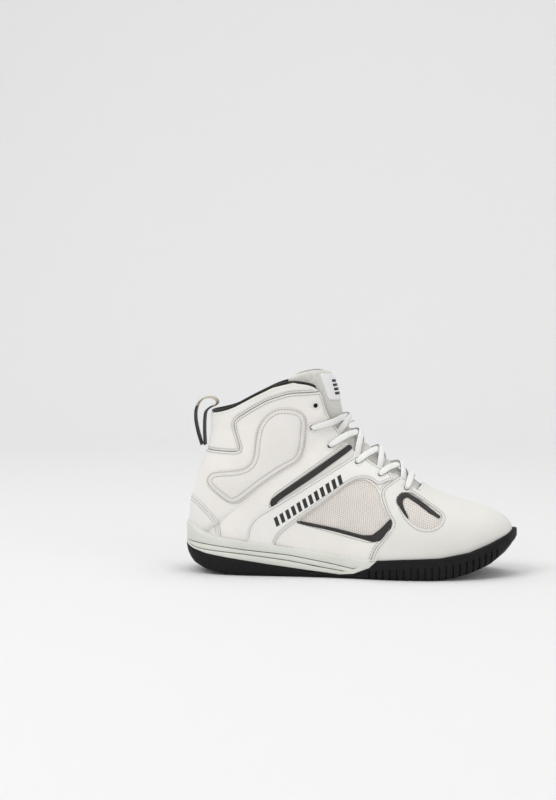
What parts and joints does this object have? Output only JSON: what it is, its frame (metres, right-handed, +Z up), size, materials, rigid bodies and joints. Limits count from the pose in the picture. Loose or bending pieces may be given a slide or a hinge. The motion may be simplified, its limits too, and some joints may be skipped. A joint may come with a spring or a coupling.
{
  "type": "laced high top shoe",
  "caption": "Laced high top shoe for the right foot, with a padded ankle collar, side straps, a heel pull loop, a hinged tongue and a ribbed cup sole.",
  "frame": {"origin": "on the ground under the middle of the outsole", "axes": "+X to the toe, +Y to the medial side, -Y to the lateral side, +Z up"},
  "size_m": [0.305, 0.1042, 0.1854],
  "materials": {
    "aglet": "clear",
    "board": "fibre board",
    "felt": "matte",
    "film": "smooth",
    "foam": "open cell foam",
    "label": "woven, smooth",
    "lace": "braided",
    "leather": "smooth, satin",
    "lining": "knitted",
    "mesh": "woven",
    "outsole_rubber": "ribbed, matte",
    "steel": "rolled",
    "stiffener": "pressed sheet",
    "suede": "fine nap, matte",
    "webbing": "woven",
    "wedge_rubber": "matte"
  },
  "bodies": {
    "shoe": {"aglet_lateral": "aglet", "aglet_medial": "aglet", "ankle_pad_lateral": "leather", "ankle_pad_medial": "leather", "collar_cover": "leather", "collar_foam": "foam", "eyestay_backer_lateral": "stiffener", "eyestay_backer_medial": "stiffener", "forefoot_foam": "foam", "heel_counter": "stiffener", "heel_cover": "leather", "heel_foam": "foam", "insole_board": "board", "lace": "lace", "midsole_wedge": "wedge_rubber", "outsole": "outsole_rubber", "quarter_lateral": "leather", "quarter_lining": "lining", "quarter_medial": "leather", "shank": "steel", "sockliner": "lining", "strap_lateral": "leather", "strap_medial": "leather", "stripe_felt_lateral": "felt", "stripe_felt_medial": "felt", "stripe_film_lateral": "film", "stripe_film_medial": "film", "toe_puff": "stiffener", "vamp": "suede", "vamp_lining": "lining", "vent_mesh_lateral": "mesh", "vent_mesh_medial": "mesh", "vent_strip_lateral": "film", "vent_strip_medial": "film", "window_mesh_lateral": "mesh", "window_mesh_medial": "mesh", "window_strip_lateral": "film", "window_strip_medial": "film"},
    "tongue": {"tongue_cover": "suede", "tongue_foam": "foam", "tongue_label": "label", "tongue_lining": "lining"},
    "pull_loop": {"pull_loop": "webbing"}
  },
  "joints": [
    {"name": "tongue_fold", "type": "hinge", "parent": "shoe", "child": "tongue", "pos_m": [0.071, 0, 0.07], "axis": [0, -1, 0], "range_deg": [0, 10]},
    {"name": "pull_loop_swing", "type": "hinge", "parent": "shoe", "child": "pull_loop", "pos_m": [-0.1375, 0, 0.1165], "axis": [0, -1, 0], "range_deg": [0, 40]}
  ]
}
